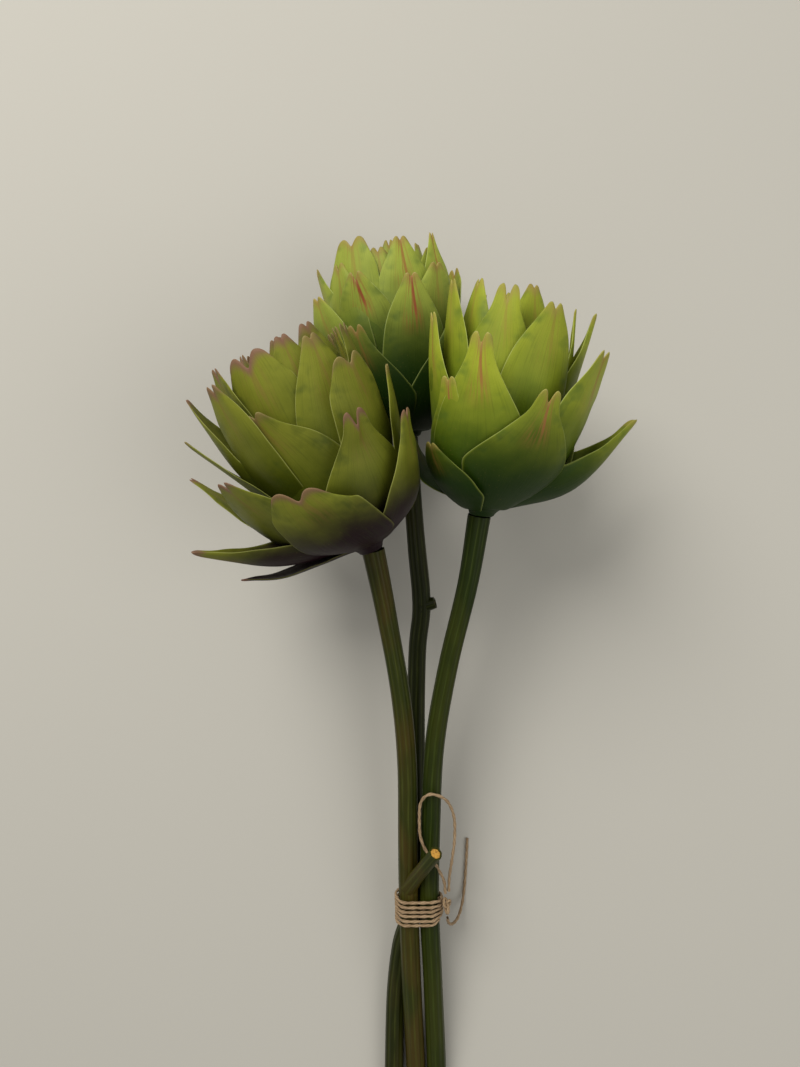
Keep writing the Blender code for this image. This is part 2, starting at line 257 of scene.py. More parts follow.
def twisted_paper():
    """Folds of twisted paper run slantwise round the cord, with painted shade darkening their creases."""
    paint, tree, shader = new_paint("twisted_paper", 0.82)
    uv = add_node(tree, "ShaderNodeUVMap", {}, uv_map="round_and_along")
    split = add_node(tree, "ShaderNodeSeparateXYZ", {"Vector": uv.outputs["UV"]})
    slant = maths(tree, "MULTIPLY", split.outputs["Y"], 90.0)
    turned = maths(tree, "ADD", split.outputs["X"], slant)
    folded = maths(tree, "SINE", maths(tree, "MULTIPLY", turned, 6 * math.pi))
    place = add_node(tree, "ShaderNodeTexCoord", {})
    blotch = stretched_noise(tree, place.outputs["Object"], (1, 1, 1), 160.0, 3.0)
    fibre = stretched_noise(tree, uv.outputs["UV"], (14, 220, 1), 1.6, 4.0)
    fold = maths(tree, "MULTIPLY", maths(tree, "ADD", folded, 1.0), 0.5)
    # Painted shade: the low side of each fold is darkened towards the crease colour.
    dark = maths(tree, "MULTIPLY", rising(tree, fold, 0.45, 0.0), 0.5)
    colour = mixed(tree, rising(tree, blotch, 0.35, 0.7), TWINE_TAN, (0.27, 0.18, 0.095, 1.0))
    colour = mixed(tree, maths(tree, "MULTIPLY", rising(tree, fibre, 0.5, 0.7), 0.35), colour,
                   (0.50, 0.38, 0.24, 1.0))
    colour = mixed(tree, dark, colour, TWINE_CREASE_SHADE)
    tree.links.new(colour, shader.inputs["Base Color"])
    height = maths(tree, "ADD", fold, maths(tree, "MULTIPLY", fibre, 0.4))
    bump = add_node(tree, "ShaderNodeBump", {"Strength": 0.6, "Distance": 0.0002, "Height": height})
    tree.links.new(bump.outputs["Normal"], shader.inputs["Normal"])
    return paint


def twine_radius(angle, distance):
    """A flat, twisted section that is a little uneven along its length."""
    flat = 0.86 + 0.14 * math.cos(2 * (angle - TWINE_TWIST * distance))
    crease = 0.05 * math.cos(5 * angle - 1.3 * TWINE_TWIST * distance)
    uneven = 0.08 * noise.noise(Vector((distance * 0.3, 7.0, angle * 0.4)))
    return TWINE_WIDTH / 2 * (flat + crease + uneven)


paper = twisted_paper()


def add_twine(name, points, count):
    route = even_route(smooth_route(points, 8), count)
    mesh = tube_mesh(name, route, TWINE_SIDES, twine_radius, "round_and_along")
    return add_piece(name, mesh, [paper]), route


loop, loop_route = add_twine("twine_loop_strand", LOOP, 150)
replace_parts(loop, "twine_loop")

tail, tail_route = add_twine("twine_tail_strand", TAIL, 90)
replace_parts(tail, "twine_tail")

# ---------------------------------------------------------------------------------------------
# Stems. Each is a solid ribbed stalk, cut square at its lower end. The left one keeps a short cut
# shoot just above the tie, and the back one a small cut knuckle.
STEM_SIDES = 48
STEM_RIBS = 9
STEM_STEPS = 150
STEM_RIB_DEPTH = 0.24
STEM_SWELL = 0.20
STEMS = {
    "left": (
        (-14.5, -8.9, 76.4, 6.2),
        (-7.9, -42.0, 68.6, 5.5),
        (0.0, -88.0, 57.6, 5.5),
        (4.0, -130.0, 47.8, 5.6),
        (4.6, -175.0, 38.8, 5.7),
        (5.2, -221.0, 30.2, 5.8),
        (7.0, -270.0, 21.6, 5.8),
        (9.6, -325.0, 9.8, 5.9),
        (9.8, -358.0, 6.3, 5.9),
    ),
    "right": (
        (42.2, 9.6, 81.6, 6.2),
        (36.4, -29.0, 72.4, 5.5),
        (26.4, -76.0, 60.3, 5.5),
        (19.6, -123.0, 50.0, 5.6),
        (17.8, -175.0, 38.6, 5.7),
        (17.4, -221.0, 30.2, 5.8),
        (19.8, -270.0, 21.0, 5.8),
        (22.4, -325.0, 9.8, 5.9),
        (22.8, -360.0, 6.3, 5.9),
    ),
    "back": (
        (4.6, 55.6, 41.9, 5.8),
        (9.4, -3.8, 37.6, 5.2),
        (12.6, -42.0, 35.0, 5.4),
        (10.2, -72.0, 32.2, 5.2),
        (9.4, -141.0, 26.2, 5.4),
        (11.0, -221.0, 19.4, 5.8),
        (7.4, -235.0, 15.6, 5.8),
        (1.4, -252.0, 12.4, 5.8),
        (-2.4, -285.0, 9.6, 5.8),
        (-3.6, -330.0, 7.0, 5.8),
        (-3.8, -355.0, 6.2, 5.8),
    ),
}
STEM_COLOURS = {
    "left": ((0.022, 0.029, 0.002, 1.0), (0.048, 0.034, 0.004, 1.0), (0.07, 0.08, 0.012, 1.0)),
    "right": ((0.012, 0.021, 0.001, 1.0), (0.026, 0.033, 0.002, 1.0), (0.05, 0.07, 0.010, 1.0)),
    "back": ((0.012, 0.016, 0.001, 1.0), (0.026, 0.024, 0.003, 1.0), (0.06, 0.07, 0.012, 1.0)),
}
STUB = ((5.2, -208.0, 33.4), (20.0, -179.0, 58.5), 4.2, 3.8)
KNUCKLE = ((12.4, -43.0, 35.0), (20.6, -40.5, 36.4), 4.2, 3.4)


def stem_skin(name, dark, brown, pale):
    """Green skin with pale lines along the ribs, brown cloudy stains and fine fibres."""
    paint, tree, shader = new_paint(name, 0.42)
    uv = add_node(tree, "ShaderNodeUVMap", {}, uv_map="round_and_along")
    split = add_node(tree, "ShaderNodeSeparateXYZ", {"Vector": uv.outputs["UV"]})
    place = add_node(tree, "ShaderNodeTexCoord", {})
    cloud = stretched_noise(tree, place.outputs["Object"], (1, 0.35, 1), 42.0, 3.0)
    fibre = stretched_noise(tree, uv.outputs["UV"], (40, 30, 1), 1.8, 3.0)
    ridge = maths(tree, "COSINE", maths(tree, "MULTIPLY", split.outputs["X"], 2 * math.pi * STEM_RIBS))
    line = maths(tree, "MULTIPLY", rising(tree, ridge, 0.35, 1.0), rising(tree, fibre, 0.35, 0.6))
    colour = mixed(tree, rising(tree, cloud, 0.42, 0.68), dark, brown)
    colour = mixed(tree, maths(tree, "MULTIPLY", line, 0.5), colour, pale)
    colour = mixed(tree, maths(tree, "MULTIPLY", rising(tree, fibre, 0.55, 0.75), 0.3), colour, pale)
    tree.links.new(colour, shader.inputs["Base Color"])
    bump = add_node(tree, "ShaderNodeBump", {"Strength": 0.35, "Distance": 0.0003, "Height": fibre})
    tree.links.new(bump.outputs["Normal"], shader.inputs["Normal"])
    shader.inputs["Specular IOR Level"].default_value = 0.15
    return paint


def stem_mesh(name, side):
    points = STEMS[side]
    route = even_route(smooth_route([point[:3] for point in points], 8), STEM_STEPS)
    sizes = [(point[3], index * 40.0, 0) for index, point in enumerate(points)]
    radii = even_route(smooth_route(sizes, 8), STEM_STEPS)
    total = distances(route)[-1]
    seed = {"left": 3.0, "right": 11.0, "back": 23.0}[side]

    def radius_at(angle, distance):
        base = radii[min(STEM_STEPS, round(STEM_STEPS * distance / total))].x
        rib = STEM_RIB_DEPTH * (math.cos(STEM_RIBS * angle) - 0.6)
        swell = STEM_SWELL * noise.noise(Vector((distance * 0.02, seed, angle * 0.5)))
        return base + rib + swell

    return tube_mesh(name, route, STEM_SIDES, radius_at, "round_and_along")


for side in STEMS:
    stem = add_piece(f"{side}_stalk", stem_mesh(f"{side}_stalk", side),
                     [stem_skin(f"{side}_stem_skin", *STEM_COLOURS[side])])
    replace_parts(stem, f"{side}_stem")

# ---------------------------------------------------------------------------------------------
# Cut shoots. Each grew out of its stem from a collar and was cut off square, so that its orange
# pith shows inside a thin green rim.
PITH = (0.62, 0.33, 0.05, 1.0)
PITH_DARK = (0.30, 0.13, 0.02, 1.0)


def cut_pith():
    """Dry orange pith with darker fibres."""
    paint, tree, shader = new_paint("cut_pith", 0.7)
    place = add_node(tree, "ShaderNodeTexCoord", {})
    grain = stretched_noise(tree, place.outputs["Object"], (1, 1, 1), 700.0, 4.0)
    colour = mixed(tree, rising(tree, grain, 0.4, 0.7), PITH, PITH_DARK)
    tree.links.new(colour, shader.inputs["Base Color"])
    bump = add_node(tree, "ShaderNodeBump", {"Strength": 0.5, "Distance": 0.0004, "Height": grain})
    tree.links.new(bump.outputs["Normal"], shader.inputs["Normal"])
    return paint


pith = cut_pith()


def add_shoot(name, ends, radii, side):
    """A tapering shoot with a flared collar and a dished cut face."""
    start, end = (Vector(point) for point in ends)
    count = 24
    route = [start.lerp(end, step / count) for step in range(count + 1)]
    length = (end - start).length

    def radius_at(angle, distance):
        share = distance / length
        flare = 1.5 * max(0.0, 1 - share / 0.45) ** 2
        rib = 0.10 * math.cos(7 * angle)
        return radii[0] + (radii[1] - radii[0]) * share + flare + rib

    mesh = tube_mesh(name, route, 28, radius_at, "round_and_along")
    bm = bmesh.new()
    bm.from_mesh(mesh)
    bm.faces.ensure_lookup_table()
    face = max((face for face in bm.faces if len(face.verts) > 4), key=lambda found: (
        found.calc_center_median() - placed(start)).length)
    bmesh.ops.inset_region(bm, faces=[face], thickness=0.0006, depth=0.0002)
    bmesh.ops.inset_region(bm, faces=[face], thickness=0.0004, depth=-0.0007)
    face.material_index = 1
    bm.to_mesh(mesh)
    bm.free()
    skin = bpy.data.materials[f"{side}_stem_skin"]
    return add_piece(name, mesh, [skin, pith])


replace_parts(add_shoot("left_stalk_shoot", STUB[:2], STUB[2:], "left"), "left_stem")
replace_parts(add_shoot("back_stalk_knuckle", KNUCKLE[:2], KNUCKLE[2:], "back"), "back_stem")

# ---------------------------------------------------------------------------------------------
# Wrap and knot. The twine goes round the three stems six times, drawn together at one side, where
# its two ends are tied in a small overhand knot.
WRAP_TURNS = 6
WRAP_STEPS = 40
WRAP_FROM_Y = -212.0
WRAP_PITCH = 2.9
WRAP_DRAWN = 0.35
WRAP_SAG = 1.8
TWINE_GAP = 0.35
STEM_RADIUS_AT_TIE = 5.8


def centre_at(side, y):
    """Where the stem's centre line crosses the plane at this y."""
    route = smooth_route([point[:3] for point in STEMS[side]], 8)
    for start, end in zip(route, route[1:]):
        if end.y <= y <= start.y:
            return start.lerp(end, (start.y - y) / (start.y - end.y))
    return route[-1]


def wrap_route():
    route = []
    reach = STEM_RADIUS_AT_TIE + TWINE_WIDTH / 2 + TWINE_GAP
    middle = WRAP_FROM_Y - WRAP_PITCH * WRAP_TURNS / 2
    for step in range(WRAP_TURNS * WRAP_STEPS + 1):
        turn = 2 * math.pi * step / WRAP_STEPS + math.radians(50)
        count = step / WRAP_STEPS
        y = WRAP_FROM_Y - WRAP_PITCH * count
        out = Vector((math.sin(turn), 0, math.cos(turn)))
        centres = [centre_at(side, y) for side in STEMS]
        outermost = max(centres, key=out.dot)
        lift = 0.5 * noise.noise(Vector((count * 3.1, 2.0, 0.0)))
        point = outermost + out * (reach + 0.35 + lift)
        point.y += WRAP_DRAWN * max(0.0, math.sin(turn)) ** 2 * (middle - point.y)
        point.y -= WRAP_SAG * max(0.0, math.cos(turn + 0.5)) ** 2
        point.y += 0.8 * noise.noise(Vector((count * 2.3, 9.0, 0.0)))
        route.append(point)
    return route


wrap_points = wrap_route()
wrap = add_piece(
    "twine_turns",
    tube_mesh("twine_turns", even_route(smooth_route(wrap_points, 2), 620), TWINE_SIDES, twine_radius,
              "round_and_along"),
    [paper],
)
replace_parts(wrap, "twine_wrap")


def knot_route():
    """An overhand knot drawn tight: a flattened trefoil round the knot's centre."""
    route = []
    for step in range(97):
        turn = 2 * math.pi * step / 96
        route.append(
            KNOT_CENTRE
            + Vector(
                (
                    0.85 * (math.sin(turn) + 1.5 * math.sin(2 * turn)),
                    1.75 * (math.cos(turn) - 1.7 * math.cos(2 * turn)),
                    -1.5 * math.sin(3 * turn),
                )
            )
        )
    return route


knot = add_piece(
    "twine_overhand",
    tube_mesh("twine_overhand", knot_route(), TWINE_SIDES, twine_radius, "round_and_along"),
    [paper],
)
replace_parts(knot, "twine_knot")

# ---------------------------------------------------------------------------------------------
# Left head: olive green, tipped to the left and wide open, purple with painted shade where it meets its
# stem.
# A bract is a fleshy leaf on a cone under the heart: it rises over a shoulder to a blunt tip with
# a small notch. Its inner face is smoother and yellower, and its rim is thin and pale.
BRACT_THICKNESS = 1.2
BRACT_ACROSS = 14
BRACT_ALONG = 22
BRACT_ARC_LIMIT = 0.75
SEAT_RADIUS = (9.0, 29.0)
SEAT_HEIGHT = (2.5, 19.0)
SEAT_RISE = (8.0, 48.0)

OUTLINES = {
    "shouldered": ((0, 0.45), (0.12, 0.74), (0.30, 1), (0.45, 0.98), (0.60, 0.78), (0.75, 0.47),
                   (0.88, 0.27), (1, 0.19)),
    "oval": ((0, 0.45), (0.15, 0.80), (0.35, 1), (0.55, 0.97), (0.72, 0.82), (0.86, 0.56),
             (0.95, 0.36), (1, 0.22)),
    "square": ((0, 0.50), (0.15, 0.80), (0.35, 1), (0.60, 1), (0.80, 0.93), (0.92, 0.80), (1, 0.62)),
    "pointed": ((0, 0.40), (0.12, 0.80), (0.30, 1), (0.50, 0.86), (0.70, 0.56), (0.87, 0.26), (1, 0.07)),
}


def blend(pair, share):
    return pair[0] + (pair[1] - pair[0]) * share


def form(radius, height, width, outline="shouldered", **more):
    """One bract: tip radius and height along the head's axis, and full width. `shift` turns it from
    its even place in the whorl, in degrees, `lean` pushes the tip sideways, `fold` lifts both edges
    inwards as a share of the half width, `hook` bends the tip outwards, and `notch` is the depth of
    the cleft in it, in millimetres. `rust` and `stain` say how strongly its tip is streaked and
    browned, from 0 to 1."""
    values = {"shift": 0, "lean": 0.0, "fold": 0.0, "hook": 0.0, "notch": 3.0, "slant": 0.0}
    values.update({"rust": 0.3, "stain": 0.5})
    values.update(more)
    return SimpleNamespace(radius=radius, height=height, width=width, outline=outline, **values)


def whorl(seat, first, *forms):
    """Bracts evenly spaced round the head from the azimuth `first`, in degrees (0 faces up from the
    floor, 90 to the right), all on one seat (0 outermost, 1 innermost)."""
    for index, bract in enumerate(forms):
        bract.seat = seat
        bract.azimuth = first + 360 * index / len(forms) + bract.shift
    return list(forms)


def half_width(outline, share):
    """The outline's half width at this share of the length, as a share of the full half width."""
    points = smooth_route([(place, half, 0) for place, half in OUTLINES[outline]], 4)
    for start, end in zip(points, points[1:]):
        if share <= end.x:
            return start.y + (end.y - start.y) * (share - start.x) / (end.x - start.x)
    return points[-1].y


def squeeze(head, turn):
    """The share of its round radius that the head keeps at this azimuth, in radians."""
    kept = 1.0
    for azimuth, share in head["pressed"]:
        kept -= share * max(0.0, math.cos(turn - math.radians(azimuth))) ** 2
    return kept


def midrib(head, bract):
    """The bract's centre line as (radius, 0, height), from its seat over its shoulder to its tip."""
    tip_radius = bract.radius / squeeze(head, math.radians(bract.azimuth))
    tip = Vector((tip_radius, 0, bract.height))
    if bract.seat > 1:
        start = Vector((blend(SEAT_RADIUS, 1.0) - 8 * (bract.seat - 1), 0, 18 + 30 * (bract.seat - 1)))
        middle = start.lerp(tip, 0.5)
        middle.x = max(middle.x + 5, min(tip.x, start.x) + 6)
        return even_route(smooth_route((start, middle, tip), 12), 4 * BRACT_ALONG)
    start = Vector((blend(SEAT_RADIUS, bract.seat), 0, blend(SEAT_HEIGHT, bract.seat)))
    shoulder_radius = blend(head["shoulder"], bract.seat)
    reach = 0.62 * tip_radius + 0.38 * start.x
    shoulder = Vector(
        (min(shoulder_radius, max(reach, start.x + 8)), 0, start.z + 0.36 * (tip.z - start.z))
    )
    if tip_radius > shoulder_radius + 8:
        shoulder.z *= 0.86
    rise = math.radians(blend(SEAT_RISE, bract.seat))
    first = Vector((math.cos(rise), 0, math.sin(rise))) * 6
    return even_route(smooth_route((start, start + first, shoulder, tip), 12), 4 * BRACT_ALONG)


def smooth_share(value, low, high):
    share = min(1.0, max(0.0, (value - low) / (high - low)))
    return share * share * (3 - 2 * share)


def head_matrix(head):
    """Local Z runs up the head's axis, local X faces away from the floor, local Y to the right."""
    lean = math.radians(head["lean"])
    rise = math.radians(head["rise"])
    axis = Vector((-math.sin(lean) * math.cos(rise), math.cos(lean) * math.cos(rise), math.sin(rise)))
    up = Vector((0, 0, 1))
    front = (up - axis * axis.dot(up)).normalized()
    right = axis.cross(front)
    matrix = Matrix((front, right, axis)).transposed().to_4x4()
    matrix.translation = Vector(head["base"])
    return matrix


def bract_mesh(name, head, bract, seed):
    rib = midrib(head, bract)
    length = distances(rib)[-1]
    last = len(rib) - 1
    to_layout = head_matrix(head)
    middle = math.radians(bract.azimuth)
    mesh = bpy.data.meshes.new(name)
    bm = bmesh.new()
    bmesh.ops.create_grid(bm, x_segments=BRACT_ACROSS, y_segments=BRACT_ALONG, size=1.0)
    uv = bm.loops.layers.uv.new("across_and_along")
    rise = bm.verts.layers.float.new("rise")
    rust = bm.verts.layers.float.new("rust")
    stain = bm.verts.layers.float.new("stain")
    tone = bm.verts.layers.float.new("tone")
    flesh = bm.verts.layers.deform.verify()
    for face in bm.faces:
        for loop in face.loops:
            loop[uv].uv = ((loop.vert.co.x + 1) / 2, (loop.vert.co.y + 1) / 2)
    for vertex in bm.verts:
        across = vertex.co.x
        along = (vertex.co.y + 1) / 2
        lobe = abs(across)
        half_tip = half_width(bract.outline, 1.0) * bract.width / 2
        round_end = 0.8 * half_tip * (1 - math.sqrt(max(0.0, 1 - ((lobe - 0.45) / 0.56) ** 2)))
        cleft = bract.notch * max(0.0, 1 - lobe / 0.34) ** 0.8
        slanted = bract.slant * across * half_tip
        cut = (round_end + cleft + abs(bract.slant) * half_tip - slanted) * smooth_share(along, 0.72, 1.0)
        share = along - cut / length
        where = min(last - 0.001, max(0.0, share * last))
        index = int(where)
        spot = rib[index].lerp(rib[index + 1], where - index)
        ahead = (rib[min(index + 2, last)] - rib[max(index - 1, 0)]).normalized()
        half = min(half_width(bract.outline, along) * bract.width / 2, BRACT_ARC_LIMIT * spot.x)
        sway = bract.lean * smooth_share(along, 0.2, 1.0) ** 1.3
        turn = middle + (across * half + sway) / spot.x
        radius = spot.x * squeeze(head, turn)
        out = Vector((ahead.z * math.cos(turn), ahead.z * math.sin(turn), -ahead.x))
        ripple = noise.noise(Vector((across * 1.4, along * 3.2, seed * 5.7)))
        edge_ripple = noise.noise(Vector((across * 2.0, along * 7.0, seed * 3.1)))
        push = 0.9 * ripple * smooth_share(along, 0.1, 0.5) + 0.9 * edge_ripple * lobe**3
        push -= bract.fold * half * lobe**1.7
        push += bract.hook * smooth_share(along, 0.62, 1.0) ** 2
        local = Vector((radius * math.cos(turn), radius * math.sin(turn), spot.z)) + out * push
        # Height up the head's axis; it also sets how far the painted shade at the foot reaches.
        vertex[rise] = local.z / 100
        vertex[rust] = bract.rust
        vertex[stain] = bract.stain
        vertex[tone] = 0.5 + 0.5 * noise.noise(Vector((seed * 9.3, 4.0, 1.0)))
        vertex[flesh][0] = 1 - 0.6 * smooth_share(lobe, 0.6, 1.0) - 0.2 * smooth_share(along, 0.8, 1.0)
        vertex.co = placed(to_layout @ local)
    bm.to_mesh(mesh)
    bm.free()
    mesh.shade_smooth()
    return mesh


def skin_group():
    """Colour and relief of a bract's skin, from its foot at the stem, dark with painted shade, to its
    streaked tip.
    """
    tree = bpy.data.node_groups.new("bract_skin", "ShaderNodeTree")
    face = tree.interface
    for name in ("Foot_and_shade", "Body", "Tip", "Bloom", "Rust", "Stain"):
        face.new_socket(name=name, in_out="INPUT", socket_type="NodeSocketColor")
    for name in ("Foot low", "Foot high"):
        face.new_socket(name=name, in_out="INPUT", socket_type="NodeSocketFloat")
    face.new_socket(name="Colour", in_out="OUTPUT", socket_type="NodeSocketColor")
    face.new_socket(name="Relief", in_out="OUTPUT", socket_type="NodeSocketFloat")
    given = tree.nodes.new("NodeGroupInput").outputs
    uv = add_node(tree, "ShaderNodeUVMap", {}, uv_map="across_and_along").outputs["UV"]
    split = add_node(tree, "ShaderNodeSeparateXYZ", {"Vector": uv})
    along = split.outputs["Y"]
    centred = maths(tree, "SUBTRACT", split.outputs["X"], 0.5)
    edge = maths(tree, "MULTIPLY", maths(tree, "ABSOLUTE", centred), 2.0)
    rise = add_node(tree, "ShaderNodeAttribute", {}, attribute_name="rise").outputs["Fac"]
    rust = add_node(tree, "ShaderNodeAttribute", {}, attribute_name="rust").outputs["Fac"]
    stain = add_node(tree, "ShaderNodeAttribute", {}, attribute_name="stain").outputs["Fac"]
    tone = add_node(tree, "ShaderNodeAttribute", {}, attribute_name="tone").outputs["Fac"]
    place = add_node(tree, "ShaderNodeTexCoord", {}).outputs["Object"]
    cloud = stretched_noise(tree, place, (1, 1, 1), 48.0, 3.0)
    patch = stretched_noise(tree, place, (1, 1, 1), 95.0, 2.0)
    speckle = stretched_noise(tree, place, (1, 1, 1), 900.0, 2.0)
    fibre = stretched_noise(tree, uv, (60, 3.5, 1), 1.0, 3.0)
    streak = stretched_noise(tree, uv, (26, 3.0, 1), 1.0, 3.0)
    wander = maths(tree, "MULTIPLY", maths(tree, "SUBTRACT", cloud, 0.5), 0.5)
    upward = maths(tree, "ADD", along, wander)
    foot_shade_height = maths(tree, "ADD", rise, maths(tree, "MULTIPLY", wander, 0.35))
    colour = mixed(tree, rising(tree, upward, 0.25, 1.0), given["Body"], given["Tip"])
    bloomed = maths(tree, "MULTIPLY", rising(tree, patch, 0.48, 0.70), rising(tree, edge, 0.15, 0.8))
    colour = mixed(tree, maths(tree, "MULTIPLY", bloomed, 0.55), colour, given["Bloom"])
    # Foot colour: partly the head's own purple or deep green base, partly painted shade that darkens the
    # head towards its stem end, away from the lamp.
    foot = add_node(
        tree,
        "ShaderNodeMapRange",
        {"Value": foot_shade_height, "From Min": given["Foot low"], "From Max": given["Foot high"]},
        interpolation_type="SMOOTHSTEP",
    ).outputs["Result"]
    colour = mixed(tree, foot, given["Foot_and_shade"], colour)
    fibrous = maths(tree, "MULTIPLY", rising(tree, fibre, 0.50, 0.72), 0.22)
    colour = mixed(tree, fibrous, colour, (0.03, 0.05, 0.005, 1.0))
    pale = maths(tree, "MULTIPLY", rising(tree, edge, 0.93, 1.0), 0.35)
    colour = mixed(tree, pale, colour, given["Tip"])
    near_tip = maths(tree, "MULTIPLY", rising(tree, along, 0.60, 0.80), rising(tree, edge, 0.50, 0.12))
    rusty = maths(tree, "MULTIPLY", rising(tree, streak, 0.40, 0.58), near_tip)
    colour = mixed(tree, maths(tree, "MULTIPLY", rusty, rust), colour, given["Rust"])
    browned = rising(tree, maths(tree, "ADD", along, maths(tree, "MULTIPLY", wander, 0.15)), 0.92, 0.99)
    colour = mixed(tree, maths(tree, "MULTIPLY", browned, stain), colour, given["Stain"])
    dotted = maths(tree, "MULTIPLY", rising(tree, speckle, 0.66, 0.74), 0.25)
    colour = mixed(tree, dotted, colour, (0.16, 0.12, 0.03, 1.0))
    shade = add_node(
        tree, "ShaderNodeMapRange", {"Value": tone, "To Min": 0.78, "To Max": 1.22}
    ).outputs["Result"]
    toned = add_node(tree, "ShaderNodeHueSaturation", {"Color": colour, "Value": shade})
    relief = maths(tree, "ADD", fibre, maths(tree, "MULTIPLY", cloud, 0.8))
    tree_out = tree.nodes.new("NodeGroupOutput")
    tree.links.new(toned.outputs["Color"], tree_out.inputs["Colour"])
    tree.links.new(relief, tree_out.inputs["Relief"])
    return tree


bract_skin = skin_group()


def skin_paint(name, colours, foot_shade_reach, roughness):
    paint, tree, shader = new_paint(name, roughness)
    skin = tree.nodes.new("ShaderNodeGroup")
    skin.node_tree = bract_skin
    for key, colour in colours.items():
        skin.inputs[key].default_value = (*colour, 1.0)
    skin.inputs["Foot low"].default_value = foot_shade_reach[0]
    skin.inputs["Foot high"].default_value = foot_shade_reach[1]
    tree.links.new(skin.outputs["Colour"], shader.inputs["Base Color"])
    bump = add_node(
        tree, "ShaderNodeBump", {"Strength": 0.22, "Distance": 0.0006, "Height": skin.outputs["Relief"]}
    )
    tree.links.new(bump.outputs["Normal"], shader.inputs["Normal"])
    shader.inputs["Specular IOR Level"].default_value = 0.14
    return paint


def bract_paints(side, outer, inner, rim, foot_shade_reach):
    """The skins of the outer face, the inner face and the rim."""
    return [
        skin_paint(f"{side}_bract_outside", outer, foot_shade_reach, 0.48),
        skin_paint(f"{side}_bract_inside", {**outer, **inner}, foot_shade_reach, 0.55),
        skin_paint(f"{side}_bract_rim", {**outer, **rim}, foot_shade_reach, 0.55),
    ]


def add_bract(name, head, bract, paints, seed):
    piece = add_piece(name, bract_mesh(name, head, bract, seed), paints)
    piece.vertex_groups.new(name="flesh")
    solid = piece.modifiers.new("thickness", "SOLIDIFY")
    solid.thickness = BRACT_THICKNESS * MM
    solid.offset = 0.0
    solid.vertex_group = "flesh"
    solid.material_offset = 1
    solid.material_offset_rim = 2
    smooth = piece.modifiers.new("rounding", "SUBSURF")
    smooth.levels = 1
    smooth.render_levels = 1
    return piece


def add_bud_core(side, head, paints):
    """The heart: it widens from the stem to the seats of the bracts, and closes in a bud that only
    shows as a shadow between them."""
    wide = head["shoulder"][1] - 8.0
    top = head["bud_top"] - 6.0
    profile = smooth_route(
        (
            (0.0, 0.0, -1.5),
            (6.6, 0.0, -1.0),
            (9.0, 0.0, 2.0),
            (18.0, 0.0, 9.5),
            (SEAT_RADIUS[1] - 3.0, 0.0, SEAT_HEIGHT[1]),
            (wide, 0.0, 34.0),
            (wide, 0.0, 56.0),
            (wide * 0.74, 0.0, 82.0),
            (wide * 0.36, 0.0, top - 5),
            (0.0, 0.0, top),
        ),
        4,
    )
    mesh = bpy.data.meshes.new(f"{side}_bud_core")
    bm = bmesh.new()
    verts = [bm.verts.new((max(0.0, point.x), 0.0, point.z)) for point in profile]
    edges = [bm.edges.new(pair) for pair in zip(verts, verts[1:])]
    bmesh.ops.spin(
        bm,
        geom=verts + edges,
        cent=(0, 0, 0),
        axis=(0, 0, 1),
        angle=2 * math.pi,
        steps=40,
        use_merge=True,
    )
    bmesh.ops.remove_doubles(bm, verts=bm.verts, dist=0.001)
    uv = bm.loops.layers.uv.new("across_and_along")
    rise = bm.verts.layers.float.new("rise")
    for face in bm.faces:
        for loop in face.loops:
            loop[uv].uv = (0.5, 0.5 * max(0.0, loop.vert.co.z) / top)
    to_layout = head_matrix(head)
    for vertex in bm.verts:
        vertex[rise] = vertex.co.z / 100
        kept = squeeze(head, math.atan2(vertex.co.y, vertex.co.x))
        vertex.co = placed(to_layout @ Vector((vertex.co.x * kept, vertex.co.y * kept, vertex.co.z)))
    bmesh.ops.recalc_face_normals(bm, faces=bm.faces)
    bm.to_mesh(mesh)
    bm.free()
    mesh.shade_smooth()
    core = add_piece(f"{side}_bud_core", mesh, paints[:1])
    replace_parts(core, f"{side}_heart")
    return core


def add_head(side, head, outer, crown, paints):
    """Every outer bract stands for its node, and the crown closes over the heart."""
    add_bud_core(side, head, paints)
    for number, bract in enumerate(outer, 1):
        piece = add_bract(f"{side}_leaf_{number:02d}", head, bract, paints, number * 1.37)
        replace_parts(piece, f"{side}_bract_{number:02d}")
    for number, bract in enumerate(crown, 1):
        add_bract(f"{side}_crown_{number:02d}", head, bract, paints, 50 + number * 1.73)


LEFT_HEAD = {
    "base": (-15.0, -7.7, 77.0),
    "lean": 24.0,
    "rise": 12.0,
    "shoulder": (52.0, 37.0),
    "pressed": ((110.0, 0.24),),
    "bud_top": 112.0,
}
LEFT_OUTER = (
    *whorl(
        0.12, -72,
        form(86, 40, 38, fold=0.6, stain=0.9),
        form(62, 54, 50, "square", lean=-8, slant=-0.2, stain=0.8),
        form(60, 64, 46, lean=-3, stain=0.9),
        form(46, 56, 56),
        form(84, 40, 46),
        form(74, 46, 46),
    ),
    *whorl(
        0.42, -102,
        form(76, 72, 36, "pointed", stain=0.9),
        form(67, 67, 50, "oval", shift=-6, stain=0.9),
        form(54, 75, 58, shift=2, hook=4, notch=7, stain=0.9),
        form(48, 86, 42, "oval", shift=-8, lean=-4),
        form(43, 60, 50),
        form(62, 64, 50),
    ),
    *whorl(
        1.00, -96,
        form(64, 91, 44, "pointed", shift=14, lean=4),
        form(44, 90, 58, "oval", lean=-7, notch=1.0),
        form(37, 96, 40),
        form(34, 84, 44),
        form(44, 94, 46),
    ),
    *whorl(0.0, -86, form(70, 14, 26, "pointed", fold=0.2, stain=0.9)),
    *whorl(0.3, 18, form(28, 16, 22, "oval", fold=0.8, notch=1.0)),
)
